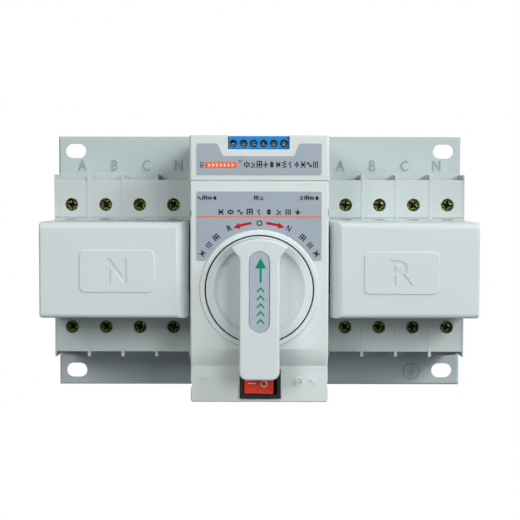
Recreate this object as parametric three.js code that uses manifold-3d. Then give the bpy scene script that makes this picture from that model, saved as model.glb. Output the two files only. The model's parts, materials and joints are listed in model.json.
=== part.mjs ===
// Changeover switch for two supplies. A bank of four modular breaker poles stands on each side of
// a steel base plate, and a drive box between them holds a hand lever, a gear motor and the cam
// that lifts one bank's toggles or the other's.
// Millimetres, +Z up. The front faces -Y. The origin is the centre of the plane in which the
// base plate meets the wall, so every Y below is zero or negative.
import * as THREE from 'three';
import { mergeVertices } from 'three/addons/utils/BufferGeometryUtils.js';
import Module from 'manifold-3d';

const wasm = await Module();
wasm.setup();

// ---------------------------------------------------------------- driving dimensions
const GAP = 0.3;                  // air between pieces that meet
const OVER = 0.5;                 // how far a cutter runs past the face that it cuts
const WALL = 2.2;                 // moulded wall of the drive box
const POLE_PITCH = 18;            // one module of a modular breaker
const POLES = 4;
const BANK_INNER_X = 36.6;        // inner edge of a bank of poles
const DIAL_Z = -9.7;              // height of the handle's axis

// depth planes, from the wall forward
const PLATE_FRONT = -8;
const SHOULDER = PLATE_FRONT - 49;
const NOSE_FRONT = SHOULDER - 17;
const FACE = PLATE_FRONT - 88;
const LOWER_PANEL = FACE + 4.5;
const GUARD_FRONT = FACE + 1;
const LEVER_FRONT = FACE - 18;
const BOX_SPLIT = -62;            // where the front cover meets the rear case
const CASE_BACK = PLATE_FRONT - 0.4;
const LIP_BACK = FACE + 12;       // where the cover's and cap's touching walls are cut away

const plate = {
  width: 226, height: 140, sheet: 1.5, relief: 2.5,
  slotX: 103.3, slotZ: 61.9, slotLength: 11.5, slotWidth: 8,
};
const rail = { height: 35, hat: 27, depth: 7.5, sheet: 1 };
const pole = {
  width: POLE_PITCH - 0.2, back: PLATE_FRONT - 1, endZ: 49.9, ribZ: 48.4, shoulderZ: 45.7, rib: 0.7,
  noseZ: 22.5, grooveZ: 25.6, groove: 0.7, pocketX: 6.2, pocketFront: -50, pocketBack: -36,
  pocketDeepZ: 26, toggleSlotX: 3.2, toggleSlotZ: 14.5,
};
const clampScrew = {
  z: 32.5, hole: 3.4, recess: 3.8, head: 3.05, headDepth: 2.6, shank: 2, length: 14, slot: 0.9,
};
const toggle = {
  pivotY: -66, reach: 14.5, swing: 40, barRadius: 2.5, barEnd: 6.2, paddle: 3, paddleX: 2.6, hub: 4.2,
};
const yoke = { front: -86, web: 2, lipBack: -77, inner: 3, outer: 5, innerX: 21, armBack: -80 };
const guard = { z: 24.4, innerX: 36, frontInnerX: 40.3, slopeBack: -88, outerX: 111.4, wall: 1.5 };
const box = {
  x: 34.9, top: 44.9, bottom: -67.5, slopeTop: -39.7, slopeBottom: -48.9,
  notches: [{ z: 29, deep: 1.1 }, { z: -59.2, deep: 0.8 }], notchRadius: 2.6,
};
const cap = { x: 35.15, bottom: 45.3, top: 68 };
const strip = {
  x0: -15.55, x1: 14.7, z0: 61.3, z1: 67.7, front: -94, ways: 6, pitch: 5.08, firstX: -13.2,
  screwZ: 63.9, well: 1.95, wellDepth: 6, head: 1.6, recess: 3, headDepth: 2.7, slot: 0.6, seatBack: -77,
};
const dial = {
  radius: 27, hole: 27.7, ringOuter: 30.3, ring: 1, dishOuter: 23.2, dishInner: 21, dish: 2.3, depth: 3.4,
  hub: 10, hubDepth: 3,
};
const lever = {
  barHalf: 10, neckZ: 17, neckX: 11.5, fanRadius: 26.3, fanHalfX: 14.4, tail: 43.7, tailCorner: 4,
  foilHalfX: 5.2, foilHalfZ: 20.2, rimClearance: 1.2,
};
const rocker = {
  x: 0.5, z: -58, bezelX: 10.5, bezelZ: 7.5, bezel: 2, bodyX: 9.3, bodyZ: 6.4, bodyBack: -76,
  pocketX: 8.5, pocketZ: 5.2, pocketBack: -82, tilt: 9, pivotY: -88.5,
};
const shaft = { radius: 4, front: -94, back: -58 };
const cam = { front: -86, back: -82, rim: 14, lobe: 17, lobeHalfAngle: 30, blend: 10 };
const gears = { module: 1.25, driven: 32, pinion: 12, front: -74, back: -70, slack: 0.2 };
const pinionShaft = { radius: 2.5, back: -56, bore: 2.9 };
const motor = { gearHalf: 14, gearBack: -44, corner: 3, radius: 13.5, back: -17, boss: 5, bossBack: -14 };
const board = { front: -79, back: -77.4, halfX: 31, z0: 27, z1: 65.4 };
const web = { front: -64, back: -62, halfX: 31, z0: -48, z1: 44 };   // the chassis's front web
const legs = { sheet: 2, z0: -38, z1: 40, postX: 26, postZ: 38, postRadius: 2.5 };
const limit = {
  x0: 8, x1: 28, z0: -46, z1: -36, depth: 6.4, armX0: 9, armX1: 24, arm: 0.8, armBack: 2, armFront: 5,
};
const foil = 0.3;
const foilGap = 0.05;
const capFoilSpan = { x0: -31.5, x1: 31.2, z0: 48.2, z1: 63.9 };
const capFoilNotch = { left: -18.4, right: 17.8, z: 57.6, leftTop: -21.2, rightTop: 19.9 };
const coverFoilSpan = { x0: -31.6, x1: 31.2, z0: 5, z1: 39.8 };

// ---------------------------------------------------------------- solids
function toSolid(geometry) {
  const bare = geometry.clone();
  bare.deleteAttribute('normal');
  bare.deleteAttribute('uv');
  const merged = mergeVertices(bare, 1e-4);
  return new wasm.Manifold(new wasm.Mesh({
    numProp: 3,
    vertProperties: new Float32Array(merged.attributes.position.array),
    triVerts: new Uint32Array(merged.index.array),
  }));
}

function toGeometry(solid) {
  const mesh = solid.getMesh();
  const geometry = new THREE.BufferGeometry();
  geometry.setAttribute('position', new THREE.BufferAttribute(new Float32Array(mesh.vertProperties), 3));
  geometry.setIndex(new THREE.BufferAttribute(new Uint32Array(mesh.triVerts), 1));
  geometry.computeVertexNormals();
  return geometry;
}

function block(x0, x1, y0, y1, z0, z1) {
  const geometry = new THREE.BoxGeometry(x1 - x0, y1 - y0, z1 - z0);
  geometry.translate((x0 + x1) / 2, (y0 + y1) / 2, (z0 + z1) / 2);
  return toSolid(geometry);
}

// a round bar along Y
function bar(x, z, radius, y0, y1, sides = 24) {
  const geometry = new THREE.CylinderGeometry(radius, radius, y1 - y0, sides);
  geometry.translate(x, (y0 + y1) / 2, z);
  return toSolid(geometry);
}

// a round bar along X
function crossBar(y, z, radius, x0, x1, sides = 16) {
  const geometry = new THREE.CylinderGeometry(radius, radius, x1 - x0, sides);
  geometry.rotateZ(Math.PI / 2);
  geometry.translate((x0 + x1) / 2, y, z);
  return toSolid(geometry);
}

// an outline drawn in X and Z, given thickness from yFront to yBack
function slab(shape, yFront, yBack, curveSegments = 8) {
  const depth = yBack - yFront;
  const geometry = new THREE.ExtrudeGeometry(shape, { depth, bevelEnabled: false, curveSegments });
  geometry.rotateX(Math.PI / 2);
  geometry.translate(0, yBack, 0);
  return toSolid(geometry);
}

// an outline drawn in Y and Z, run from x0 to x1
function profileAlongX(shape, x0, x1) {
  const geometry = new THREE.ExtrudeGeometry(shape, { depth: x1 - x0, bevelEnabled: false });
  const axes = new THREE.Matrix4().makeBasis(
    new THREE.Vector3(0, 1, 0), new THREE.Vector3(0, 0, 1), new THREE.Vector3(1, 0, 0));
  geometry.applyMatrix4(axes);
  geometry.translate(x0, 0, 0);
  return toSolid(geometry);
}

// an outline drawn in X and Y, run from z0 to z1
function profileAlongZ(shape, z0, z1) {
  const geometry = new THREE.ExtrudeGeometry(shape, { depth: z1 - z0, bevelEnabled: false });
  geometry.translate(0, 0, z0);
  return toSolid(geometry);
}

// a turned piece about the handle's axis, from [radius, y] corners
function turned(corners, segments = 48) {
  const geometry = new THREE.LatheGeometry(corners.map(([r, y]) => new THREE.Vector2(r, y)), segments);
  geometry.translate(0, 0, DIAL_Z);
  return toSolid(geometry);
}

function polygon(corners) {
  return new THREE.Shape(corners.map(([a, b]) => new THREE.Vector2(a, b)));
}

function roundedRect(x0, x1, z0, z1, radius) {
  const shape = new THREE.Shape();
  shape.moveTo(x0 + radius, z0);
  shape.lineTo(x1 - radius, z0);
  shape.absarc(x1 - radius, z0 + radius, radius, -Math.PI / 2, 0);
  shape.lineTo(x1, z1 - radius);
  shape.absarc(x1 - radius, z1 - radius, radius, 0, Math.PI / 2);
  shape.lineTo(x0 + radius, z1);
  shape.absarc(x0 + radius, z1 - radius, radius, Math.PI / 2, Math.PI);
  shape.lineTo(x0, z0 + radius);
  shape.absarc(x0 + radius, z0 + radius, radius, Math.PI, 1.5 * Math.PI);
  return shape;
}

function union(solids) {
  return solids.reduce((sum, next) => sum.add(next));
}

function cut(solid, cutters) {
  return cutters.reduce((rest, cutter) => rest.subtract(cutter), solid);
}

// ---------------------------------------------------------------- materials
function material(color, roughness, metalness = 0) {
  return new THREE.MeshStandardMaterial({ color, roughness, metalness });
}

const finish = {
  platePaint: material(0xc3d2d4, 0.45, 0.1),
  shell: material(0xdbe4e3, 0.5),
  poleCase: material(0xdde6e5, 0.5),
  dial: material(0xe3ecee, 0.42),
  foilGrey: material(0xa3b0ba, 0.4, 0.2),
  foilLever: material(0xbcc6da, 0.45),
  blue: material(0x0a8fd6, 0.4),
  screw: material(0xb5a76a, 0.35, 0.9),
  smallScrew: material(0x8c8c84, 0.3, 0.9),
  black: material(0x1a1c1e, 0.4),
  red: material(0xd6251c, 0.35),
  toggle: material(0x22262a, 0.45),
  steel: material(0xb4b8ba, 0.4, 0.9),
  zinc: material(0xaeb6ba, 0.45, 0.8),
  brass: material(0xc8a24a, 0.35, 0.9),
  board: material(0x1f6b3c, 0.5),
  motor: material(0x8f9599, 0.4, 0.8),
  nylon: material(0xe8e4d8, 0.5),
};

const model = new THREE.Group();

function addPiece(name, solid, look) {
  const mesh = new THREE.Mesh(toGeometry(solid), look);
  mesh.name = name;
  model.add(mesh);
}

// ---------------------------------------------------------------- base plate and rails
function basePlate() {
  const halfX = plate.width / 2;
  const halfZ = plate.height / 2;
  const pan = cut(block(-halfX, halfX, PLATE_FRONT, 0, -halfZ, halfZ), [
    block(-halfX + plate.sheet, halfX - plate.sheet, PLATE_FRONT + plate.sheet, OVER,
      -halfZ + plate.sheet, halfZ - plate.sheet),
  ]);
  const cutters = [];
  for (const sx of [-1, 1]) {
    for (const sz of [-1, 1]) {
      // the folded edges stop short of each other at the corners
      const corner = block(-plate.relief, plate.relief, PLATE_FRONT + plate.sheet, OVER,
        -plate.relief, plate.relief);
      cutters.push(corner.translate([sx * halfX, 0, sz * halfZ]));
      const r = plate.slotWidth / 2;
      const slot = roundedRect(-plate.slotLength / 2, plate.slotLength / 2, -r, r, r);
      cutters.push(slab(slot, PLATE_FRONT - OVER, OVER, 6)
        .translate([sx * plate.slotX, 0, sz * plate.slotZ]));
    }
  }
  return cut(pan, cutters);
}

// a top-hat rail along X: the hat's web lies on the plate and its two lips stand off from it
function topHatRail(side) {
  const back = PLATE_FRONT - GAP;
  const front = back - rail.depth;
  const lip = rail.height / 2;
  const hat = rail.hat / 2;
  const outline = polygon([
    [back, -hat], [back, hat], [front + rail.sheet, hat], [front + rail.sheet, lip], [front, lip],
    [front, hat - rail.sheet], [back - rail.sheet, hat - rail.sheet],
    [back - rail.sheet, -hat + rail.sheet], [front, -hat + rail.sheet], [front, -lip],
    [front + rail.sheet, -lip], [front + rail.sheet, -hat],
  ]);
  const inner = BANK_INNER_X + 1;
  const outer = BANK_INNER_X + POLES * POLE_PITCH - 1;
  return profileAlongX(outline, side < 0 ? -outer : inner, side < 0 ? -inner : outer);
}

// ---------------------------------------------------------------- breaker poles
function poleX(side, index) {
  return side * (BANK_INNER_X + POLE_PITCH * (index + 0.5));
}

// Each end is a wire pocket between two thin ribs, in front of a wall that stands further out.
function poleCase(x) {
  const half = pole.width / 2;
  const railFront = PLATE_FRONT - GAP - rail.depth;
  const body = block(x - half, x + half, SHOULDER, pole.back, -pole.endZ, pole.endZ);
  const nose = block(x - half, x + half, NOSE_FRONT, SHOULDER + OVER, -pole.noseZ, pole.noseZ);
  const railHalf = rail.height / 2 + GAP;
  const cutters = [
    block(x - half - OVER, x + half + OVER, railFront - GAP, pole.back + OVER, -railHalf, railHalf),
    block(x - pole.toggleSlotX, x + pole.toggleSlotX, NOSE_FRONT - OVER, SHOULDER + 2,
      -pole.toggleSlotZ, pole.toggleSlotZ),
  ];
  const inside = half - pole.rib;
  for (const end of [-1, 1]) {
    const past = pole.endZ + POLE_PITCH;
    const reach = (from) => (end > 0 ? [from, past] : [-past, -from]);
    cutters.push(
      block(x - POLE_PITCH, x + POLE_PITCH, SHOULDER - OVER, pole.pocketBack, ...reach(pole.ribZ)),
      block(x - inside, x + inside, SHOULDER - OVER, pole.pocketBack, ...reach(pole.shoulderZ)),
      block(x - pole.pocketX, x + pole.pocketX, pole.pocketFront, pole.pocketBack,
        ...reach(pole.pocketDeepZ)),
      groove(x, end * pole.grooveZ),
      bar(x, end * clampScrew.z, clampScrew.hole, SHOULDER - OVER, pole.pocketFront + OVER, 16),
    );
  }
  return cut(body.add(nose), cutters);
}

// a shallow line across the shoulder, just clear of the nose
function groove(x, z) {
  const halfX = pole.width / 2 - pole.rib;
  const halfZ = pole.groove / 2;
  return block(x - halfX, x + halfX, SHOULDER - OVER, SHOULDER + pole.groove, z - halfZ, z + halfZ);
}

function terminalScrew(x, z) {
  const front = SHOULDER + clampScrew.recess;
  const headBack = front + clampScrew.headDepth;
  const head = bar(x, z, clampScrew.head, front, headBack, 14);
  const shank = bar(x, z, clampScrew.shank, headBack - OVER, front + clampScrew.length, 10);
  const half = clampScrew.slot / 2;
  const slot = block(x - clampScrew.hole, x + clampScrew.hole, front - OVER, front + clampScrew.slot,
    z - half, z + half);
  return cut(head.add(shank), [slot]);
}

// ---------------------------------------------------------------- joined toggles and their yoke
// At rest the toggles are off, so they point down by toggle.swing degrees.
const toggleAngle = THREE.MathUtils.degToRad(toggle.swing);
const barY = toggle.pivotY - toggle.reach * Math.cos(toggleAngle);
const barZ = -toggle.reach * Math.sin(toggleAngle);
const barInnerX = BANK_INNER_X + toggle.barEnd;
const barOuterX = BANK_INNER_X + POLES * POLE_PITCH - toggle.barEnd;

function mirrored(side, x0, x1) {
  return side < 0 ? [-x1, -x0] : [x0, x1];
}

function toggleSet(side) {
  const [x0, x1] = mirrored(side, barInnerX, barOuterX);
  const pieces = [crossBar(barY, barZ, toggle.barRadius, x0, x1, 14)];
  for (let index = 0; index < POLES; index += 1) {
    const x = poleX(side, index);
    const hub = crossBar(toggle.pivotY, 0, toggle.hub, x - toggle.paddleX, x + toggle.paddleX, 16);
    const paddle = block(x - toggle.paddleX, x + toggle.paddleX, -toggle.reach, 0,
      -toggle.paddle / 2, toggle.paddle / 2)
      .rotate([toggle.swing, 0, 0])
      .translate([0, toggle.pivotY, 0]);
    pieces.push(hub, paddle);
  }
  return union(pieces);
}

function yokeBar(side) {
  const channel = polygon([
    [yoke.lipBack, barZ - yoke.outer], [yoke.lipBack, barZ - yoke.inner],
    [yoke.front + yoke.web, barZ - yoke.inner], [yoke.front + yoke.web, barZ + yoke.inner],
    [yoke.lipBack, barZ + yoke.inner], [yoke.lipBack, barZ + yoke.outer],
    [yoke.front, barZ + yoke.outer], [yoke.front, barZ - yoke.outer],
  ]);
  const [x0, x1] = mirrored(side, barInnerX - 1, barOuterX + 1);
  const [a0, a1] = mirrored(side, yoke.innerX, barInnerX - OVER);
  const arm = block(a0, a1, yoke.front, yoke.armBack, barZ - yoke.inner, barZ + yoke.inner);
  return profileAlongX(channel, x0, x1).add(arm);
}

const armSlotZ = Math.abs(barZ) + yoke.inner + 0.8;

// ---------------------------------------------------------------- guards over the toggles
// Top, bottom and outer walls reach back over the noses. The inner wall stops at their front, and
// its front edge slopes away from the drive box.
function toggleGuard(side) {
  const inside = guard.z - guard.wall;
  const back = SHOULDER - GAP;
  const reach = (inset, y0, y1) => polygon([
    [side * (guard.frontInnerX + inset), y0], [side * (guard.innerX + inset), guard.slopeBack],
    [side * (guard.innerX + inset), y1], [side * (guard.outerX - inset), y1],
    [side * (guard.outerX - inset), y0],
  ]);
  const [n0, n1] = mirrored(side, guard.innerX - OVER, guard.frontInnerX + guard.wall + OVER);
  return cut(profileAlongZ(reach(0, GUARD_FRONT, back), -guard.z, guard.z), [
    profileAlongZ(reach(guard.wall, GUARD_FRONT + guard.wall, back + OVER), -inside, inside),
    block(n0, n1, NOSE_FRONT - GAP, back + OVER, -inside, inside),
    block(n0, n1, yoke.front - 1, back + OVER, -armSlotZ, armSlotZ),
  ]);
}

// ---------------------------------------------------------------- drive box shells
function rearCase() {
  const x = box.x - GAP;
  const z0 = box.bottom + GAP;
  const z1 = cap.top - GAP;
  return cut(block(-x, x, BOX_SPLIT, CASE_BACK, z0, z1), [
    block(-x + WALL, x - WALL, BOX_SPLIT - OVER, CASE_BACK - WALL, z0 + WALL, z1 - WALL),
  ]);
}

function frontCover() {
  const split = BOX_SPLIT - GAP;
  const outline = polygon([
    [split, box.bottom], [split, box.top], [FACE, box.top], [FACE, box.slopeTop],
    [LOWER_PANEL, box.slopeBottom], [LOWER_PANEL, box.bottom],
  ]);
  const hollow = polygon([
    [split + OVER, box.bottom + WALL], [split + OVER, box.top - WALL], [FACE + WALL, box.top - WALL],
    [FACE + WALL, box.slopeTop], [LOWER_PANEL + WALL, box.slopeBottom],
    [LOWER_PANEL + WALL, box.bottom + WALL],
  ]);
  const ringBack = FACE + OVER;
  const ring = turned([
    [dial.hole, FACE - dial.ring], [dial.ringOuter, FACE - dial.ring],
    [dial.ringOuter, ringBack], [dial.hole, ringBack], [dial.hole, FACE - dial.ring],
  ]);
  const shell = profileAlongX(outline, -box.x, box.x).add(ring);
  const slotX = box.x + OVER;
  const { x: holeAtX, z: holeAtZ } = rocker;
  const holeX = rocker.bodyX + GAP;
  const holeZ = rocker.bodyZ + GAP;
  const notches = [];
  for (const { z, deep } of box.notches) {
    for (const side of [-1, 1]) {
      const x = side * (box.x + box.notchRadius - deep);
      notches.push(bar(x, z, box.notchRadius, FACE - OVER, split + OVER, 20));
    }
  }
  return cut(shell, [
    ...notches,
    profileAlongX(hollow, -box.x + WALL, box.x - WALL),
    block(-box.x + WALL, box.x - WALL, LIP_BACK, split + OVER, box.top - WALL - OVER, box.top + OVER),
    bar(0, DIAL_Z, dial.hole, FACE - dial.ring - OVER, FACE + WALL + OVER, 48),
    block(-slotX, slotX, yoke.front - 1, split + OVER, -armSlotZ, armSlotZ),
    block(holeAtX - holeX, holeAtX + holeX, LOWER_PANEL - OVER, LOWER_PANEL + WALL + OVER,
      holeAtZ - holeZ, holeAtZ + holeZ),
  ]);
}

function terminalCap() {
  const split = BOX_SPLIT - GAP;
  return cut(block(-cap.x, cap.x, FACE, split, cap.bottom, cap.top), [
    block(-cap.x + WALL, cap.x - WALL, FACE + WALL, split + OVER, cap.bottom + WALL, cap.top - WALL),
    block(-cap.x + WALL, cap.x - WALL, LIP_BACK, split + OVER, cap.bottom - OVER, cap.bottom + WALL + OVER),
    block(strip.x0 - GAP, strip.x1 + GAP, FACE - OVER, strip.seatBack, strip.z0 - GAP, cap.top + OVER),
  ]);
}

// ---------------------------------------------------------------- control terminals and board
function controlScrewX(index) {
  return strip.firstX + strip.pitch * index;
}

function controlStrip() {
  const wells = [];
  const wellBack = strip.front + strip.wellDepth;
  for (let index = 0; index < strip.ways; index += 1) {
    wells.push(bar(controlScrewX(index), strip.screwZ, strip.well, strip.front - OVER, wellBack, 12));
  }
  return cut(block(strip.x0, strip.x1, strip.front, board.front - GAP, strip.z0, strip.z1), wells);
}

function controlScrew(index) {
  const x = controlScrewX(index);
  const front = strip.front + strip.recess;
  const half = strip.slot / 2;
  const slot = block(x - strip.well, x + strip.well, front - OVER, front + strip.slot,
    strip.screwZ - half, strip.screwZ + half);
  return cut(bar(x, strip.screwZ, strip.head, front, front + strip.headDepth, 12), [slot]);
}

function controlBoard() {
  return block(-board.halfX, board.halfX, board.front, board.back, board.z0, board.z1);
}

// ---------------------------------------------------------------- drive train
// One tooth outline after another, with involute flanks above the base circle.
function gearShape(teeth, turn) {
  const pressure = THREE.MathUtils.degToRad(20);
  const pitchRadius = gears.module * teeth / 2;
  const baseRadius = pitchRadius * Math.cos(pressure);
  const tip = pitchRadius + 0.8 * gears.module;
  const root = pitchRadius - 1.1 * gears.module;
  const involute = (radius) => {
    const a = Math.acos(Math.min(1, baseRadius / radius));
    return Math.tan(a) - a;
  };
  const halfTooth = Math.PI / teeth * 0.47;
  const flankAngle = (radius) => halfTooth + involute(pitchRadius) - involute(Math.max(radius, baseRadius));
  const flank = [root, Math.max(baseRadius, root + 0.1), pitchRadius, tip];
  const points = [];
  for (let tooth = 0; tooth < teeth; tooth += 1) {
    const middle = turn + tooth * 2 * Math.PI / teeth;
    for (const radius of flank) {
      const angle = middle - flankAngle(radius);
      points.push(new THREE.Vector2(radius * Math.cos(angle), radius * Math.sin(angle)));
    }
    for (const radius of [...flank].reverse()) {
      const angle = middle + flankAngle(radius);
      points.push(new THREE.Vector2(radius * Math.cos(angle), radius * Math.sin(angle)));
    }
  }
  return new THREE.Shape(points);
}

const pinionZ = DIAL_Z + gears.module * (gears.driven + gears.pinion) / 2 + gears.slack;

function drivenGear() {
  return cut(slab(gearShape(gears.driven, Math.PI / 2), gears.front, gears.back).translate([0, 0, DIAL_Z]), [
    bar(0, DIAL_Z, shaft.radius + GAP, gears.front - OVER, gears.back + OVER),
  ]);
}

function drivePinion() {
  // a space between two teeth faces down, onto the driven gear's top tooth
  const turn = -Math.PI / 2 + Math.PI / gears.pinion;
  const teeth = slab(gearShape(gears.pinion, turn), gears.front, gears.back).translate([0, 0, pinionZ]);
  return teeth.add(bar(0, pinionZ, pinionShaft.radius, gears.back - OVER, pinionShaft.back, 16));
}

function camDisc() {
  // a plain rim with a raised lobe below, which presses the end-of-travel switches
  const { degToRad } = THREE.MathUtils;
  const lobeEnd = -90 + cam.lobeHalfAngle;
  const lobeStart = -90 - cam.lobeHalfAngle;
  const shape = new THREE.Shape();
  shape.absarc(0, 0, cam.rim, degToRad(lobeEnd + cam.blend), degToRad(360 + lobeStart - cam.blend));
  shape.absarc(0, 0, cam.lobe, degToRad(lobeStart), degToRad(lobeEnd));
  return cut(slab(shape, cam.front, cam.back, 24).translate([0, 0, DIAL_Z]), [
    bar(0, DIAL_Z, shaft.radius + GAP, cam.front - OVER, cam.back + OVER),
  ]);
}

function handleShaft() {
  return bar(0, DIAL_Z, shaft.radius, shaft.front, shaft.back);
}

function chassis() {
  const footY = CASE_BACK - WALL - GAP;
  const pieces = [block(-web.halfX, web.halfX, web.front, web.back, web.z0, web.z1)];
  for (const side of [-1, 1]) {
    const [x0, x1] = mirrored(side, web.halfX - legs.sheet, web.halfX);
    pieces.push(block(x0, x1, web.back - OVER, footY, legs.z0, legs.z1));
    // a post for the circuit board
    pieces.push(bar(side * legs.postX, legs.postZ, legs.postRadius, board.back + GAP, web.front + OVER, 12));
  }
  return cut(union(pieces), [
    bar(0, DIAL_Z, shaft.radius + foilGap, web.front - OVER, web.back + OVER),
    bar(0, pinionZ, pinionShaft.bore, web.front - OVER, web.back + OVER, 16),
  ]);
}

function gearBox() {
  const { gearHalf: half, gearBack, corner } = motor;
  const shape = roundedRect(-half, half, pinionZ - half, pinionZ + half, corner);
  return cut(slab(shape, web.back + GAP, gearBack, 4), [
    bar(0, pinionZ, pinionShaft.bore, web.back, pinionShaft.back + 1, 16),
  ]);
}

function driveMotor() {
  return bar(0, pinionZ, motor.radius, motor.gearBack + GAP, motor.back, 32)
    .add(bar(0, pinionZ, motor.boss, motor.back - OVER, motor.bossBack, 16));
}

function limitSwitch(side) {
  const [x0, x1] = mirrored(side, limit.x0, limit.x1);
  const [a0, a1] = mirrored(side, limit.armX0, limit.armX1);
  const back = web.front - GAP;
  return block(x0, x1, back - limit.depth, back, limit.z0, limit.z1)
    .add(block(a0, a1, back - limit.armFront, back - limit.armBack, limit.z1 - OVER, limit.z1 + limit.arm));
}

// ---------------------------------------------------------------- dial, lever and rocker
function dialDisc() {
  const front = FACE - dial.ring;
  const back = FACE + dial.depth;
  const hubBack = back + dial.hubDepth;
  const bore = shaft.radius + GAP;
  return turned([
    [0, front + dial.dish], [dial.dishInner, front + dial.dish], [dial.dishOuter, front],
    [dial.radius, front], [dial.radius, back], [dial.hub, back], [dial.hub, hubBack], [bore, hubBack],
    [bore, shaft.front - GAP], [0, shaft.front - GAP],
  ]);
}

// A bar whose head flares at the neck to a fan with the dial's own curve.
function leverOutline() {
  const { barHalf, neckZ, neckX, fanRadius, fanHalfX, tail, tailCorner: r } = lever;
  const fanZ = Math.sqrt(fanRadius ** 2 - fanHalfX ** 2);
  const fanAngle = Math.atan2(fanZ, fanHalfX);
  const turnZ = neckX - barHalf;   // how far the rounded neck runs above and below its corner
  const shape = new THREE.Shape();
  shape.moveTo(-barHalf, -tail + r);
  shape.absarc(-barHalf + r, -tail + r, r, Math.PI, 1.5 * Math.PI);
  shape.lineTo(barHalf - r, -tail);
  shape.absarc(barHalf - r, -tail + r, r, 1.5 * Math.PI, 2 * Math.PI);
  shape.lineTo(barHalf, neckZ - turnZ);
  shape.quadraticCurveTo(barHalf, neckZ, neckX, neckZ + turnZ);
  shape.lineTo(fanHalfX, fanZ);
  shape.absarc(0, 0, fanRadius, fanAngle, Math.PI - fanAngle);
  shape.lineTo(-neckX, neckZ + turnZ);
  shape.quadraticCurveTo(-barHalf, neckZ, -barHalf, neckZ - turnZ);
  shape.closePath();
  return shape;
}

function leverHandle() {
  const dishFloor = FACE - dial.ring + dial.dish;
  const seat = dishFloor - GAP;
  const clear = FACE - dial.ring - lever.rimClearance;
  const { foilHalfX, foilHalfZ } = lever;
  const body = slab(leverOutline(), LEVER_FRONT, seat, 6).translate([0, 0, DIAL_Z]);
  // past the dish, the lever's back stands clear of the rim and the ring
  const outside = cut(bar(0, DIAL_Z, lever.tail + POLE_PITCH, clear, seat + OVER, 32), [
    bar(0, DIAL_Z, dial.dishInner - 1, clear - OVER, seat + 2 * OVER, 32),
  ]);
  const recess = slab(roundedRect(-foilHalfX, foilHalfX, -foilHalfZ, foilHalfZ, foilHalfX),
    LEVER_FRONT - OVER, LEVER_FRONT + 2 * foil + GAP, 6).translate([0, 0, DIAL_Z]);
  return cut(body, [outside, recess]);
}

function leverFoil() {
  const x = lever.foilHalfX - GAP;
  const z = lever.foilHalfZ - GAP;
  return slab(roundedRect(-x, x, -z, z, x), LEVER_FRONT + foil, LEVER_FRONT + 2 * foil, 6)
    .translate([0, 0, DIAL_Z]);
}

function capFoil() {
  const { x0, x1, z0, z1 } = capFoilSpan;
  const { left, right, z, leftTop, rightTop } = capFoilNotch;
  const outline = polygon([
    [x0, z0], [x1, z0], [x1, z1], [rightTop, z1], [right, z], [left, z], [leftTop, z1], [x0, z1],
  ]);
  return slab(outline, FACE - foilGap - foil, FACE - foilGap);
}

function coverFoil() {
  const { x0, x1, z0, z1 } = coverFoilSpan;
  const front = FACE - foilGap - foil;
  return cut(block(x0, x1, front, FACE - foilGap, z0, z1), [
    bar(0, DIAL_Z, dial.ringOuter + GAP, front - OVER, FACE + OVER, 48),
  ]);
}

function rockerFrame() {
  const { x, z, bezelX, bezelZ, bodyX, bodyZ, bodyBack, pocketX, pocketZ, pocketBack } = rocker;
  const back = LOWER_PANEL - GAP;
  const front = back - rocker.bezel;
  const bezel = block(x - bezelX, x + bezelX, front, back, z - bezelZ, z + bezelZ);
  const body = block(x - bodyX, x + bodyX, back - OVER, bodyBack, z - bodyZ, z + bodyZ);
  return cut(bezel.add(body), [
    block(x - pocketX, x + pocketX, front - OVER, pocketBack, z - pocketZ, z + pocketZ),
  ]);
}

// the button leans so that its left side is pressed in
function rockerButton() {
  const outline = polygon([
    [-7.3, -6.1], [0, -4.7], [7.3, -6.1], [7.3, -1.5], [2, 4.5], [-2, 4.5], [-7.3, -1.5],
  ]);
  const half = rocker.pocketZ - GAP;
  return profileAlongZ(outline, -half, half)
    .rotate([0, 0, -rocker.tilt])
    .translate([rocker.x, rocker.pivotY, rocker.z]);
}

// ---------------------------------------------------------------- assembly
addPiece('base_plate', basePlate(), finish.platePaint);

for (const [side, bank] of [[-1, 'normal'], [1, 'reserve']]) {
  addPiece(`${bank}_rail`, topHatRail(side), finish.zinc);
  for (let index = 0; index < POLES; index += 1) {
    const x = poleX(side, index);
    const number = index + 1;
    addPiece(`${bank}_pole_${number}`, poleCase(x), finish.poleCase);
    addPiece(`${bank}_top_screw_${number}`, terminalScrew(x, clampScrew.z), finish.screw);
    addPiece(`${bank}_bottom_screw_${number}`, terminalScrew(x, -clampScrew.z), finish.screw);
  }
  addPiece(`${bank}_toggles`, toggleSet(side), finish.toggle);
  addPiece(`${bank}_yoke`, yokeBar(side), finish.black);
  addPiece(`${bank}_guard`, toggleGuard(side), finish.shell);
  addPiece(`${bank}_limit_switch`, limitSwitch(side), finish.black);
}

addPiece('rear_case', rearCase(), finish.shell);
addPiece('front_cover', frontCover(), finish.shell);
addPiece('terminal_cap', terminalCap(), finish.shell);
addPiece('control_strip', controlStrip(), finish.blue);
for (let index = 0; index < strip.ways; index += 1) {
  addPiece(`control_screw_${index + 1}`, controlScrew(index), finish.smallScrew);
}
addPiece('control_board', controlBoard(), finish.board);
addPiece('chassis', chassis(), finish.zinc);
addPiece('gear_box', gearBox(), finish.nylon);
addPiece('drive_motor', driveMotor(), finish.motor);
addPiece('drive_pinion', drivePinion(), finish.brass);
addPiece('driven_gear', drivenGear(), finish.brass);
addPiece('cam_disc', camDisc(), finish.nylon);
addPiece('handle_shaft', handleShaft(), finish.steel);
addPiece('dial_disc', dialDisc(), finish.dial);
addPiece('lever_handle', leverHandle(), finish.dial);
addPiece('lever_foil', leverFoil(), finish.foilLever);
addPiece('cap_foil', capFoil(), finish.foilGrey);
addPiece('cover_foil', coverFoil(), finish.foilGrey);
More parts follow.
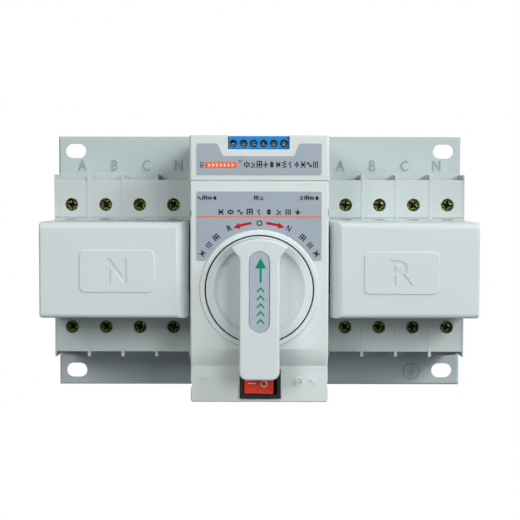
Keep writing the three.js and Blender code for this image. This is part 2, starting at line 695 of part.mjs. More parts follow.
addPiece('rocker_frame', rockerFrame(), finish.black);
addPiece('rocker_button', rockerButton(), finish.red);

export default model;
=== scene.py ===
import json
import math
import random

import bmesh
import bpy
from mathutils import Matrix, Vector


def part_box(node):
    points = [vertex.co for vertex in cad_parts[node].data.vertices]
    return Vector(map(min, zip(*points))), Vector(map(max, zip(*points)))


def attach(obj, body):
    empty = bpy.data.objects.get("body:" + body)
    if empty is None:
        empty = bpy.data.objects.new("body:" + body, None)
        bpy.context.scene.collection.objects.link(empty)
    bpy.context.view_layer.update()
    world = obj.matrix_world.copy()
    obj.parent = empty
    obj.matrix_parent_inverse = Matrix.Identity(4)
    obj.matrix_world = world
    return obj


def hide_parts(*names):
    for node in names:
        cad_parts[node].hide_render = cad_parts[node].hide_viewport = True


# A changeover switch for two supplies, dressed around its fixed frame. Solids are built in
# millimetres as bmeshes; `publish` turns each into metres. X runs right, Z up, and -Y is the front.
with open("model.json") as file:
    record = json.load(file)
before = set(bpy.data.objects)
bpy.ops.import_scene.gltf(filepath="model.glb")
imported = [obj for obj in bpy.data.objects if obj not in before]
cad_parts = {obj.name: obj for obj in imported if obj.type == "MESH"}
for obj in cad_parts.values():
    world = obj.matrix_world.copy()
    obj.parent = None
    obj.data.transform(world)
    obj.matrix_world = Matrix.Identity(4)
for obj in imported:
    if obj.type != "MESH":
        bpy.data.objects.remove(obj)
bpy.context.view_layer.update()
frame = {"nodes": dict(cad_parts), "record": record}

MM = 0.001
SHARP = math.radians(29)      # faces that meet at more than this have an edge to round
SMOOTH = math.radians(25.8)   # faces that meet at less than this are shaded as one curve
ROOT = "root"
BANKS = (("normal", -1), ("reserve", 1))
POLES = (1, 2, 3, 4)


class Span:
    """A node's box in millimetres."""

    def __init__(self, node):
        low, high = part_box(node)
        self.x0, self.y0, self.z0 = (value / MM for value in low)
        self.x1, self.y1, self.z1 = (value / MM for value in high)
        self.x = (self.x0 + self.x1) / 2
        self.z = (self.z0 + self.z1) / 2


PLATE = Span("base_plate")
COVER = Span("front_cover")
CAP = Span("terminal_cap")
LEVER = Span("lever_handle")
LEVER_FOIL = Span("lever_foil")
CAP_FOIL = Span("cap_foil")
COVER_FOIL = Span("cover_foil")
DIAL = Span("dial_disc")
BUTTON = Span("rocker_button")
BEZEL = Span("rocker_frame")
STRIP = Span("control_strip")
POLE = Span("reserve_pole_1")
FACE = CAP.y0                  # the drive box's front face
SHOULDER = Span("normal_guard").y1 + 0.3
LOWER_PANEL = BEZEL.y0 + 2.3


# ---------------------------------------------------------------- outlines in X and Z
def near(a, b, slack=0.06):
    return abs(a - b) < slack


def arc(x, z, radius, start, stop, steps=12):
    """Points along an arc, its angles in degrees."""
    turns = [math.radians(start + (stop - start) * i / steps) for i in range(steps + 1)]
    return [(x + radius * math.cos(a), z + radius * math.sin(a)) for a in turns]


def rounded(corners, radius):
    """A closed outline whose corners are all turned into arcs of one radius."""
    steps = 6
    points = []
    for i, corner in enumerate(corners):
        here = Vector(corner)
        before = (Vector(corners[i - 1]) - here).normalized()
        after = (Vector(corners[(i + 1) % len(corners)]) - here).normalized()
        half = before.angle(after) / 2
        centre = here + (before + after).normalized() * radius / math.sin(half)
        start = here + before * radius / math.tan(half) - centre
        stop = here + after * radius / math.tan(half) - centre
        first = math.atan2(start.y, start.x)
        sweep = (math.atan2(stop.y, stop.x) - first + math.pi) % (2 * math.pi) - math.pi
        for step in range(steps + 1):
            angle = first + sweep * step / steps
            points.append((centre.x + radius * math.cos(angle), centre.y + radius * math.sin(angle)))
    return points


def rectangle(x0, x1, z0, z1):
    return [(x0, z0), (x1, z0), (x1, z1), (x0, z1)]


def ribbon(points, width):
    """The outline of a stroke of one width along an open line, its corners mitred."""
    line = [Vector(point) for point in points]
    sides = ([], [])
    for i, here in enumerate(line):
        into = (here - line[i - 1]).normalized() if i else (line[1] - here).normalized()
        out = (line[i + 1] - here).normalized() if i + 1 < len(line) else into
        normal = Vector((-into.y - out.y, into.x + out.x)).normalized()
        reach = width / 2 / max(0.5, normal.dot(Vector((-into.y, into.x))))
        sides[0].append(tuple(here + normal * reach))
        sides[1].append(tuple(here - normal * reach))
    return sides[0] + sides[1][::-1]


# ---------------------------------------------------------------- solids
def prism(outline, y0, y1):
    """A closed solid: an outline in X and Z, run from y0 to y1."""
    bm = bmesh.new()
    front = [bm.verts.new((x, y0, z)) for x, z in outline]
    back = [bm.verts.new((x, y1, z)) for x, z in outline]
    bm.faces.new(front)
    bm.faces.new(back[::-1])
    for i, vert in enumerate(front):
        bm.faces.new((vert, back[i], back[i - 1], front[i - 1]))
    bmesh.ops.recalc_face_normals(bm, faces=bm.faces)
    return bm


def block(x0, x1, y0, y1, z0, z1):
    return prism(rectangle(x0, x1, z0, z1), y0, y1)


def spun(profile, x, z, steps=48):
    """A solid turned about a line along Y, from a closed loop of (radius, y) corners."""
    bm = bmesh.new()
    rings = []
    for radius, y in profile:
        count = steps if radius > 1e-6 else 1
        turns = [2 * math.pi * i / steps for i in range(count)]
        rings.append([bm.verts.new((x + radius * math.cos(a), y, z + radius * math.sin(a))) for a in turns])
    for ring, following in zip(rings, rings[1:] + rings[:1]):
        if len(ring) == len(following) == 1:
            continue
        for i in range(steps):
            corners = []
            for vert in (ring[i % len(ring)], ring[(i + 1) % len(ring)],
                         following[(i + 1) % len(following)], following[i % len(following)]):
                if vert not in corners:
                    corners.append(vert)
            bm.faces.new(corners)
    bmesh.ops.recalc_face_normals(bm, faces=bm.faces)
    return bm


def hoop(outer, stroke, y0, y1, x, z, steps=48):
    """A flat ring about a line along Y."""
    return spun([(outer - stroke, y0), (outer, y0), (outer, y1), (outer - stroke, y1)], x, z, steps)


def cad_solid(node):
    """A CAD node's own shape in millimetres, its triangles merged back into flat faces."""
    bm = bmesh.new()
    source = frame["nodes"][node].data
    verts = [bm.verts.new(vert.co / MM) for vert in source.vertices]
    for face in source.polygons:
        bm.faces.new([verts[i] for i in face.vertices])
    bmesh.ops.remove_doubles(bm, verts=bm.verts, dist=1e-3)
    bmesh.ops.dissolve_limit(bm, angle_limit=math.radians(0.3), verts=bm.verts, edges=bm.edges)
    return bm


def placed(name, data):
    """A new object in the scene."""
    obj = bpy.data.objects.new(name, data)
    bpy.context.scene.collection.objects.link(obj)
    return obj


def as_mesh(bm, name="working"):
    mesh = bpy.data.meshes.new(name)
    bm.to_mesh(mesh)
    bm.free()
    return mesh


def as_object(bm, name="working"):
    return placed(name, as_mesh(bm, name))


def evaluated(obj):
    """The object's mesh after its modifiers, as a bmesh. The object is removed."""
    bpy.context.view_layer.update()
    mesh = bpy.data.meshes.new_from_object(obj.evaluated_get(bpy.context.evaluated_depsgraph_get()))
    bm = bmesh.new()
    bm.from_mesh(mesh)
    bpy.data.meshes.remove(mesh)
    bpy.data.objects.remove(obj)
    return bm


def combine(bm, operation, tools):
    """Joins or cuts a solid with others. operation is UNION or DIFFERENCE."""
    base = as_object(bm)
    helpers = [as_object(tool) for tool in tools]
    for helper in helpers:
        modifier = base.modifiers.new("combine", "BOOLEAN")
        modifier.operation = operation
        modifier.object = helper
        modifier.solver = "MANIFOLD" if operation == "UNION" else "EXACT"
    result = evaluated(base)
    for helper in helpers:
        bpy.data.objects.remove(helper)
    bmesh.ops.remove_doubles(result, verts=result.verts, dist=1e-3)
    bmesh.ops.dissolve_limit(result, angle_limit=math.radians(0.3), verts=result.verts, edges=result.edges)
    return result


def cut(bm, *tools):
    return combine(bm, "DIFFERENCE", tools)


def join(bm, *tools):
    return combine(bm, "UNION", tools)


def gather(solids):
    """Several solids as one mesh, each still a closed shell of its own."""
    whole = bmesh.new()
    for bm in solids:
        mesh = as_mesh(bm)
        whole.from_mesh(mesh)
        bpy.data.meshes.remove(mesh)
    return whole


def round_edges(bm, radius_of, segments=3):
    """Rounds each sharp edge by radius_of(its middle, its direction), in millimetres; 0 leaves it."""
    layer = bm.edges.layers.float.new("bevel_weight_edge")
    radii = {}
    for edge in bm.edges:
        if len(edge.link_faces) == 2 and edge.calc_face_angle(0) > SHARP:
            start, stop = (vert.co for vert in edge.verts)
            radii[edge] = radius_of((start + stop) / 2, (stop - start).normalized())
    largest = max(radii.values())
    for edge, radius in radii.items():
        edge[layer] = radius / largest
    obj = as_object(bm)
    modifier = obj.modifiers.new("round", "BEVEL")
    modifier.limit_method = "WEIGHT"
    modifier.width = largest
    modifier.segments = segments
    modifier.use_clamp_overlap = False
    modifier.loop_slide = False
    result = evaluated(obj)
    bmesh.ops.remove_doubles(result, verts=result.verts, dist=2e-3)
    return result


def lettering(text, height, x, z, y0, y1, turn=0, wide=1, bold=0):
    """Plain letters or numerals as solids, centred on (x, z) and turned clockwise by `turn` degrees."""
    curve = bpy.data.curves.new("letters", "FONT")
    curve.body = text
    curve.extrude = 0.5
    curve.offset = bold
    curve.resolution_u = 4
    bm = evaluated(placed("letters", curve))
    bmesh.ops.remove_doubles(bm, verts=bm.verts, dist=1e-5)
    low = [min(vert.co[i] for vert in bm.verts) for i in range(3)]
    high = [max(vert.co[i] for vert in bm.verts) for i in range(3)]
    centre = Vector([(a + b) / 2 for a, b in zip(low, high)])
    size = height / (high[1] - low[1])
    angle = math.radians(turn)
    for vert in bm.verts:
        across, up, depth = vert.co - centre
        across, up = across * size * wide, up * size
        vert.co = (x + across * math.cos(angle) + up * math.sin(angle),
                   (y0 + y1) / 2 - depth * (y1 - y0),
                   z - across * math.sin(angle) + up * math.cos(angle))
    bmesh.ops.recalc_face_normals(bm, faces=bm.faces)
    return bm


# ---------------------------------------------------------------- materials
def colour(code):
    """A linear colour from a hex code."""
    parts = [int(code[i:i + 2], 16) / 255 for i in (0, 2, 4)]
    return [c / 12.92 if c < 0.04045 else ((c + 0.055) / 1.055) ** 2.4 for c in parts] + [1]


def node(tree, kind, inputs=None, **settings):
    made = tree.nodes.new(kind)
    for name, value in settings.items():
        setattr(made, name, value)
    for name, value in (inputs or {}).items():
        if isinstance(value, bpy.types.NodeSocket):
            tree.links.new(value, made.inputs[name])
        else:
            made.inputs[name].default_value = value
    return made


def noise(tree, size, detail, stretch=(1, 1, 1)):
    """A noise pattern whose features are about `size` millimetres, longer where stretch is over 1."""
    place = node(tree, "ShaderNodeTexCoord").outputs["Object"]
    scale = [1 / (size * MM * s) for s in stretch]
    mapped = node(tree, "ShaderNodeMapping", {"Vector": place, "Scale": scale})
    return node(tree, "ShaderNodeTexNoise", {
        "Vector": mapped.outputs["Vector"], "Scale": 1.0, "Detail": detail, "Roughness": 0.55,
    }).outputs["Fac"]


def ramp(tree, factor, stops):
    made = node(tree, "ShaderNodeValToRGB", {"Fac": factor})
    elements = made.color_ramp.elements
    while len(elements) < len(stops):
        elements.new(0.5)
    for element, (position, value) in zip(elements, stops):
        element.position = position
        element.color = value
    return made.outputs["Color"]


def spread(tree, factor, low, high):
    return node(tree, "ShaderNodeMapRange", {
        "Value": factor, "From Min": 0.3, "From Max": 0.7, "To Min": low, "To Max": high,
    }).outputs["Result"]


def shaded(code, by):
    """A hex colour made lighter or darker by a share."""
    return [min(1, c * (1 + by)) for c in colour(code)[:3]] + [1]


def surface(name, code, rough, grain=0.5, depth=0.01, mottle=0.03, mottle_size=30, stretch=(1, 1, 1),
            **sockets):
    """A material with grain in its bump and roughness, and slow patches of lighter and darker colour.
    grain, depth and mottle_size are millimetres; sockets are constants for the shader."""
    rough_range = 0.06
    made = bpy.data.materials.new(name + "_finish")
    made.use_nodes = True
    tree = made.node_tree
    shader = tree.nodes["Principled BSDF"]
    for socket, value in sockets.items():
        shader.inputs[socket.replace("_", " ").title().replace("Ior", "IOR")].default_value = value
    patches = noise(tree, mottle_size, 2, stretch)
    tree.links.new(ramp(tree, patches, [(0.3, shaded(code, -mottle)), (0.7, shaded(code, mottle))]),
                   shader.inputs["Base Color"])
    fine = noise(tree, grain, 2, stretch)
    tree.links.new(spread(tree, fine, rough - rough_range, rough + rough_range), shader.inputs["Roughness"])
    bump = node(tree, "ShaderNodeBump", {"Height": fine, "Strength": 1.0, "Distance": depth * MM})
    tree.links.new(bump.outputs["Normal"], shader.inputs["Normal"])
    return made


def yellow_zinc():
    """Passivated zinc: its thin film shifts between dark olive, green and yellow; below the head's front a
    painted shade turns it near black.
    """
    made = surface("yellow_zinc", "c8b878", 0.26, grain=0.7, depth=0.14, metallic=0.75)
    tree = made.node_tree
    stops = ((0.38, "1c200c"), (0.46, "7f9a3c"), (0.54, "fbf99a"), (0.61, "6d7a3a"), (0.69, "a08c40"))
    film = ramp(tree, noise(tree, 0.8, 1), [(position, colour(code)) for position, code in stops])
    # painted shade: below the head's front, in the cross, the ticks and down the rim and shank, the colour
    # turns near black
    place = node(tree, "ShaderNodeTexCoord").outputs["Object"]
    depth = node(tree, "ShaderNodeSeparateXYZ", {"Vector": place}).outputs["Y"]
    front = Span("reserve_top_screw_1").y0 * MM
    recess_shade = node(tree, "ShaderNodeMapRange", {
        "Value": depth, "From Min": front + 0.3 * MM, "From Max": front + 0.7 * MM}).outputs["Result"]
    mixed = node(tree, "ShaderNodeMix", {0: recess_shade, 6: film, 7: colour("0c0e09")}, data_type="RGBA")
    tree.links.new(mixed.outputs[2], tree.nodes["Principled BSDF"].inputs["Base Color"])
    return made


def circuit_board():
    """Green solder mask with paler copper tracks showing through in straight runs."""
    made = surface("circuit_board", "1c6a38", 0.35, grain=0.4, depth=0.004)
    tree = made.node_tree
    place = node(tree, "ShaderNodeTexCoord").outputs["Object"]
    grid = node(tree, "ShaderNodeTexBrick", {
        "Vector": node(tree, "ShaderNodeMapping", {
            "Vector": place, "Rotation": (math.radians(90), 0, 0), "Scale": (60, 60, 60)}).outputs["Vector"],
        "Color1": colour("1a6434"), "Color2": colour("226f3c"), "Mortar": colour("4f9a55"),
        "Scale": 4.0, "Mortar Size": 0.03,
    })
    tree.links.new(grid.outputs["Color"], tree.nodes["Principled BSDF"].inputs["Base Color"])
    return made


STREAK = (12, 1, 1)       # brushed along X

LOOKS = {
    "plate_paint": surface("plate_paint", "b2c0c1", 0.42, grain=1.1, depth=0.012, mottle=0.02),
    "pole_plastic": surface("pole_plastic", "bcc7c6", 0.5, grain=0.4, depth=0.01, mottle=0.015),
    "guard_plastic": surface("guard_plastic", "d0dadb", 0.42, grain=0.5, depth=0.006, mottle=0.012),
    "cover_plastic": surface("cover_plastic", "d6dfde", 0.42, grain=0.5, depth=0.007, mottle=0.012),
    "case_plastic": surface("case_plastic", "d6dfdd", 0.5, grain=0.5, depth=0.012, mottle=0.02),
    "dial_plastic": surface("dial_plastic", "d5dddf", 0.33, grain=0.5, depth=0.003, mottle=0.01),
    "grey_foil": surface("grey_foil", "a3afba", 0.4, grain=0.28, depth=0.004, mottle=0.04, mottle_size=0.35,
                         stretch=STREAK, metallic=0.25),
    "lilac_foil": surface("lilac_foil", "adb8c6", 0.4, grain=0.3, depth=0.003, mottle=0.03, mottle_size=3,
                          metallic=0.1),
    "blue_plastic": surface("blue_plastic", "0888d2", 0.3, grain=0.4, depth=0.005, mottle=0.04),
    "black_plastic": surface("black_plastic", "1b1e20", 0.36, grain=0.4, depth=0.006, mottle=0.05),
    "red_plastic": surface("red_plastic", "e63c26", 0.28, grain=1.0, depth=0.002, mottle=0.05, mottle_size=5,
                           coat_weight=0.3, coat_roughness=0.15),
    "toggle_black": surface("toggle_black", "202428", 0.38, grain=0.4, depth=0.006, mottle=0.06),
    "nylon": surface("nylon", "ece8dc", 0.45, grain=0.6, depth=0.01, mottle=0.03),
    "zinc": surface("zinc", "b9c0c4", 0.38, grain=0.3, depth=0.004, mottle=0.1, mottle_size=4, metallic=0.9),
    "motor_steel": surface("motor_steel", "a6abae", 0.34, grain=0.3, depth=0.003, mottle=0.05,
                           stretch=(1, 30, 1), metallic=1.0),
    "shaft_steel": surface("shaft_steel", "c4c7c9", 0.25, grain=0.2, depth=0.002, mottle=0.04,
                           stretch=(12, 1, 12), metallic=1.0),
    "screw_steel": surface("screw_steel", "9a9b96", 0.22, grain=0.7, depth=0.14, mottle=0.8, mottle_size=0.6,
                           metallic=1.0),
    "brass": surface("brass", "d2a748", 0.3, grain=0.25, depth=0.004, mottle=0.08, mottle_size=3,
                     metallic=1.0),
    "yellow_zinc": yellow_zinc(),
    "circuit_board": circuit_board(),
}
INKS = {
    # a darker copy of the plate's paint: painted shade for the stamped marks
    "stamp_shade_paint": surface("stamp_shade_paint", "8f9ea2", 0.42, grain=1.1, depth=0.012, mottle=0.02),
}
for ink, code in {
    "ink_black": "1b1d21", "ink_orange": "f06e2a", "ink_red": "bd1425", "ink_green": "088a60",
    "ink_pale": "f3ded8",
}.items():
    INKS[ink] = surface(ink, code, 0.5, grain=0.2, depth=0.002, mottle=0.04, mottle_size=2,
                        specular_ior_level=0.15)


# ---------------------------------------------------------------- pieces
def publish(bm, name, body, slot, replaces=(), look=None):
    """Turns a millimetre solid into a shaded piece that rides on a body."""
    bmesh.ops.scale(bm, verts=bm.verts, vec=(MM, MM, MM))
    obj = as_object(bm, name)
    obj.data.materials.clear()
    dress(obj, body, slot, replaces, look)


def dress(obj, body, slot, replaces=(), look=None, place=None):
    """Gives an object its material, shading and place, puts it on the body it rides on, and hides the CAD
    parts it stands for.
    """
    mesh = obj.data
    if not mesh.materials:
        mesh.materials.append(look or LOOKS[slot])
    mesh.polygons.foreach_set("use_smooth", [True] * len(mesh.polygons))
    mesh.set_sharp_from_angle(angle=SMOOTH)
    weighted = obj.modifiers.new("even_shading", "WEIGHTED_NORMAL")
    weighted.keep_sharp = True
    if place:
        obj.matrix_world = place
    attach(obj, body)
    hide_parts(*replaces)


def body_of(node_name):
    return next(name for name, nodes in frame["record"]["behaviour"]["bodies"].items() if node_name in nodes)


def slot_of(node_name):
    return next(part["material_slot"] for part in frame["record"]["subparts"] if part["node"] == node_name)


def carry_over(node_name, radius_of, segments, cutters=()):
    """Makes the fine version of a CAD node: the same shape with its edges rounded."""
    bm = round_edges(cad_solid(node_name), radius_of, segments)
    if cutters:
        bm = cut(bm, *cutters)
    publish(bm, node_name + "_fine", body_of(node_name), slot_of(node_name), [node_name])


def everywhere(radius):
    return lambda middle, direction: radius


def front_edges(front, radius):
    return lambda middle, direction: radius if near(middle.y, front) else 0


# ---------------------------------------------------------------- base plate
PLATE_FOLD = 1.3
PLATE_SHEET = 1.5


def plate_radius(middle, direction):
    on_rim = near(abs(middle.x), PLATE.x1) or near(abs(middle.z), PLATE.z1)
    if on_rim and near(middle.y, PLATE.y0):
        return PLATE_FOLD
    on_inner_face = near(middle.y, PLATE.y0 + PLATE_SHEET)
    return 0 if on_inner_face else 0.15


def make_plate_marks():
    """Raised marks: a phase letter above each pole, and an earth sign at the lower right, in a darker paint
    that paints the shade along their stamped strokes.
    """
    letter_height, letter_z, raised = 5.9, PLATE.z1 - 16.1, 0.45
    y0, y1 = PLATE.y0 - raised, PLATE.y0 + 0.3
    solids = []
    for bank, side in BANKS:
        for letter, pole in zip("ABCN", POLES if side > 0 else POLES[::-1]):
            x = Span(f"{bank}_pole_{pole}").x
            solids.append(lettering(letter, letter_height, x, letter_z, y0, y1, wide=0.8, bold=0.004))
    x, z, outer, stroke, stem = 86.1, -62.3, 4.8, 0.7, 3.2
    solids.append(hoop(outer, stroke, y0, y1, x, z))
    solids.append(prism(ribbon([(x, z + stem), (x, z)], stroke), y0, y1))
    for width, drop in ((5.4, 0), (3.6, 1.3), (1.8, 2.6)):
        solids.append(prism(ribbon([(x - width / 2, z - drop), (x + width / 2, z - drop)], stroke), y0, y1))
    publish(gather(solids), "plate_marks", ROOT, "plate_paint", look=INKS["stamp_shade_paint"])


def make_plate_rivets():
    """Low domes behind the plate: three hold each rail, and six the drive box."""
    inner = PLATE.y0 + PLATE_SHEET
    dome = [(0, inner - 0.2), (2.6, inner - 0.2), (2.6, inner + 0.4), (2.2, inner + 1.0), (1.3, inner + 1.4),
            (0, inner + 1.5)]
    places = []
    for bank, _ in BANKS:
        rail = Span(f"{bank}_rail")
        places += [(rail.x0 + (rail.x1 - rail.x0) * along, 0) for along in (0.12, 0.5, 0.88)]
    places += [(x, z) for x in (-24, 24) for z in (-52, 0, 52)]
    publish(gather(spun(dome, x, z, 24) for x, z in places), "plate_rivets", ROOT, "zinc")


def make_plate():
    carry_over("base_plate", plate_radius, 4)
    make_plate_marks()
    make_plate_rivets()


# ---------------------------------------------------------------- breaker poles and their screws
SCREW_Z = Span("reserve_top_screw_1").z
HOLE_RADIUS = 3.4
GROOVE_Z = 25.6
POLE_STRETCH = 1.008      # closes most of the gap between neighbours
POLE_HALF = 9             # half a module
CASE_HALF = 8.5           # a little inside the case's side walls
RIB_INNER_Z, RIB_OUTER_Z = 24.6, 48.3


def pole_radius(middle, direction):
    end, aside = abs(middle.z), abs(middle.x - POLE.x)
    across, upright = abs(direction.x) > 0.9, abs(direction.z) > 0.9
    if near(middle.y, SHOULDER):
        if near(math.hypot(aside, end - SCREW_Z), HOLE_RADIUS, 0.1):
            return 0.32
        if across and end > POLE.z1 - 5:
            return 0.6
        on_groove, on_side = across and near(end, GROOVE_Z, 0.5), upright and aside > CASE_HALF - 0.5
        if on_groove or on_side:
            return 0.04
    if near(middle.y, POLE.y0) and abs(direction.y) < 0.5:
        on_nose_end = end > 20
        return 0.8 if on_nose_end else 0.2
    in_wire_pocket = middle.y > SHOULDER + 1.5 and aside < CASE_HALF
    return 0 if in_wire_pocket else 0.18


def scoop(end):
    """A lens-shaped hollow beside the nose, straight on its outer side and curved on the inner."""
    depth, half, radius, chord = 1.2, 2.95, 4.6, 25.0
    lift = math.sqrt(radius ** 2 - half ** 2)
    spread_angle = math.degrees(math.asin(half / radius))
    points = arc(POLE.x, chord + lift, radius, -90 - spread_angle, -90 + spread_angle)
    if end < 0:
        points = [(x, -z) for x, z in points]
    return prism(points, SHOULDER - 1, SHOULDER + depth)


def make_poles():
    solid = round_edges(cad_solid("reserve_pole_1"), pole_radius, 2)
    solid = cut(solid, scoop(1), scoop(-1))
    bmesh.ops.translate(solid, verts=solid.verts, vec=(-POLE.x, 0, 0))
    bmesh.ops.scale(solid, verts=solid.verts, vec=(MM * POLE_STRETCH, MM, MM))
    mesh = as_mesh(solid, "pole_case")
    for bank, _ in BANKS:
        for pole in POLES:
            name = f"{bank}_pole_{pole}"
            place = Matrix.Translation((Span(name).x * MM, 0, 0))
            dress(placed(name + "_fine", mesh), ROOT, "pole_plastic", [name], place=place)


def make_pole_ribs():
    """The housings' side walls stand a little proud of the terminal covers, in pairs between poles."""
    proud, half, sliver, overlap, edge = 0.22, 0.78, 0.02, 0.3, 0.2
    front = SHOULDER - proud
    strips = []
    for bank, side in BANKS:
        edges = [Span(f"{bank}_pole_{pole}").x - side * POLE_HALF for pole in POLES]
        edges.append(Span(f"{bank}_pole_4").x + side * POLE_HALF)
        for index, x in enumerate(edges):
            inner, outer = (half, half) if 0 < index < len(POLES) else (sliver, half)
            if index == len(POLES):
                inner, outer = outer, inner
            x0, x1 = sorted((x - side * inner, x + side * outer))
            for z0, z1 in ((RIB_INNER_Z, RIB_OUTER_Z), (-RIB_OUTER_Z, -RIB_INNER_Z)):
                strip = block(x0, x1, front, SHOULDER + overlap, z0, z1)
                strips.append(round_edges(strip, front_edges(front, edge), 2))
    publish(gather(strips), "pole_ribs", ROOT, "pole_plastic")


def terminal_screw():
    """A combination head: a cross, fine diagonal ticks and a rounded rim, on a threaded shank."""
    screw = Span("reserve_top_screw_1")
    head, neck, back = screw.y0, screw.y0 + 2.6, screw.y1
    outer, shank, crest = 3.05, 1.75, 2.0
    profile = [(0, head), (outer - 0.9, head + 0.04), (outer - 0.45, head + 0.2), (outer - 0.14, head + 0.5),
               (outer, head + 0.95), (outer, neck), (crest, neck)]
    turns = 12
    pitch = (back - neck - 1) / turns
    for turn in range(turns):
        profile += [(shank, neck + 0.5 + pitch * turn), (crest, neck + 0.5 + pitch * (turn + 0.5))]
    profile += [(shank, back), (0, back)]
    solid = spun(profile, 0, 0, 40)
    arm, tick = (2.2, 0.62, 1.7), (2.8, 0.2, 0.8)        # half length, half width and depth
    above = head - 0.5
    slots = []
    for (half_length, half_width, depth), turn in ((arm, 0), (arm, 90), (tick, 45), (tick, 135)):
        slot = block(-half_length, half_length, above, head + depth, -half_width, half_width)
        bmesh.ops.rotate(slot, verts=slot.verts, matrix=Matrix.Rotation(math.radians(turn), 3, "Y"))
        slots.append(slot)
    solid = cut(solid, *slots)
    solid = cut(solid, spun([(0, above), (1.35, above), (1.15, head + 0.9), (0, head + 2.1)], 0, 0, 24))
    bmesh.ops.scale(solid, verts=solid.verts, vec=(MM, MM, MM))
    return as_mesh(solid, "terminal_screw")


def make_screws():
    mesh = terminal_screw()
    draw = random.Random(7)
    for bank, _ in BANKS:
        for pole in POLES:
            for end in ("top", "bottom"):
                name = f"{bank}_{end}_screw_{pole}"
                here = Span(name)
                turn = Matrix.Rotation(math.radians(draw.uniform(0, 90)), 4, "Y")
                place = Matrix.Translation((here.x * MM, 0, here.z * MM)) @ turn
                dress(placed(name + "_fine", mesh), ROOT, "yellow_zinc", [name], place=place)


def make_clamps():
    """A brass cage behind each terminal screw, open at both ends for the wire."""
    half, wall, reach, hole = 5.2, 1.3, 5.0, 2.2
    front, back = -49.2, -37.2
    for bank, _ in BANKS:
        cages = []
        for pole in POLES:
            x = Span(f"{bank}_pole_{pole}").x
            for end in (-1, 1):
                z = end * SCREW_Z
                solid = block(x - half, x + half, front, back, z - reach, z + reach)
                inside = block(x - half + wall, x + half - wall, front + 2 * wall, back - wall,
                               z - reach - 1, z + reach + 1)
                bore = [(0, front - 1), (hole, front - 1), (hole, front + 4), (0, front + 4)]
                cages.append(round_edges(cut(solid, inside, spun(bore, x, z, 20)), everywhere(0.3), 2))
        publish(gather(cages), f"{bank}_clamps", ROOT, "brass")


# ---------------------------------------------------------------- guards
def guard_radius(guard):
    def radius(middle, direction):
        inner = abs(middle.x) < abs(guard.x)
        on_end = near(abs(middle.z), guard.z1)
        if near(middle.y, guard.y0):
            if on_end:
                return 3.6 if middle.z > 0 else 2.5
            return 2.4 if inner else 1.2
        if on_end and abs(direction.y) > 0.9:
            return 1.0 if inner else 1.6
        if middle.y > guard.y1 - 0.5 and on_end and abs(direction.x) > 0.9:
            return 0.25
        return 0
    return radius


def make_guards():
    """A moulded cap over each bank's toggles, with a raised panel that carries its letter."""
    panel_x, panel_half_x, panel_half_z, corner, proud, edge = 72, 18.9, 10.75, 3, 0.5, 0.35
    letter_height, engraved, bold = 12.7, 0.6, 0.026
    for (bank, side), letter, wide, z in zip(BANKS, "NR", (0.86, 1.12), (-0.5, -1.25)):
        name = f"{bank}_guard"
        guard = Span(name)
        shell = round_edges(cad_solid(name), guard_radius(guard), 6)
        x = side * panel_x
        front = guard.y0 - proud
        sides = rectangle(x - panel_half_x, x + panel_half_x, z - panel_half_z, z + panel_half_z)
        panel = round_edges(prism(rounded(sides, corner), front, guard.y0 + 0.6), front_edges(front, edge))
        panel = cut(panel, lettering(letter, letter_height, x, z, front - 0.5, front + engraved, wide=wide,
                                     bold=bold))
        publish(join(shell, panel), name + "_fine", body_of(name), "guard_plastic", [name])


# ---------------------------------------------------------------- drive box
DIAL_Z = DIAL.z
RING_OUTER = 30.3
RING_INNER = 27.7
NOTCH_SPLIT = -45         # between the upper and the lower side notches
NOTCH_Z = 29
STRIP_OPENING = 17        # half the width of the cap's opening
STRIP_WAYS = 6


def cover_radius(middle, direction):
    from_dial = math.hypot(middle.x, middle.z - DIAL_Z)
    if middle.y < FACE - 0.5 and from_dial < RING_OUTER + 1:
        return 0.85 if from_dial > RING_OUTER - 0.5 else 0.3
    if near(abs(middle.x), COVER.x1) and abs(direction.y) < 0.95 and middle.y < LOWER_PANEL + 0.1:
        return 1.05 if middle.z > NOTCH_SPLIT else 0.75     # shallower than the notch beside it
    if near(middle.z, COVER.z1) and near(middle.y, FACE):
        return 0.5
    if near(middle.z, COVER.z0) and near(middle.y, LOWER_PANEL):
        return 0.8
    if near(abs(middle.x), COVER.x1) and abs(direction.y) > 0.95 and near(abs(middle.z), abs(COVER.z0)):
        return 1.2
    return 0


def make_seals():
    """A lip that closes the seam under the terminal cap, a floor in each upper side notch, and a black ring
    behind the gap around the dial that paints the shade in that gap."""
    lip = block(-COVER.x1 + 0.5, COVER.x1 - 0.5, FACE + 0.5, FACE + 3, COVER.z1 + 0.02, CAP.z0 - 0.02)
    publish(lip, "cover_lip", ROOT, "cover_plastic")
    floors = []
    outside, radius, start, stop = 1.5, 2.65, 38, 142
    for side in (-1, 1):
        outline = arc(side * (COVER.x1 + outside), NOTCH_Z, radius, 90 + side * start, 90 + side * stop, 8)
        floors.append(prism(outline, FACE + 4, FACE + 6))
    publish(gather(floors), "notch_floors", ROOT, "cover_plastic")
    inner, outer = FACE + 2.2, RING_INNER + 0.05
    gap_shade = spun([(outer, inner), (31, inner), (31, inner + 1.4), (24, inner + 1.4), (24, inner + 0.5),
                   (outer, inner + 0.5)], 0, DIAL_Z, 64)
    publish(gap_shade, "dial_gap_shade", ROOT, "black_plastic")


def cap_radius(middle, direction):
    at_front = near(middle.y, FACE)
    if near(abs(middle.x), CAP.x1) and at_front:
        return 1.6
    if near(middle.z, CAP.z1) and at_front and abs(middle.x) > STRIP_OPENING:
        return 0.7
    if near(middle.z, CAP.z0) and at_front:
        return 0.5
    return 0.25 if at_front else 0


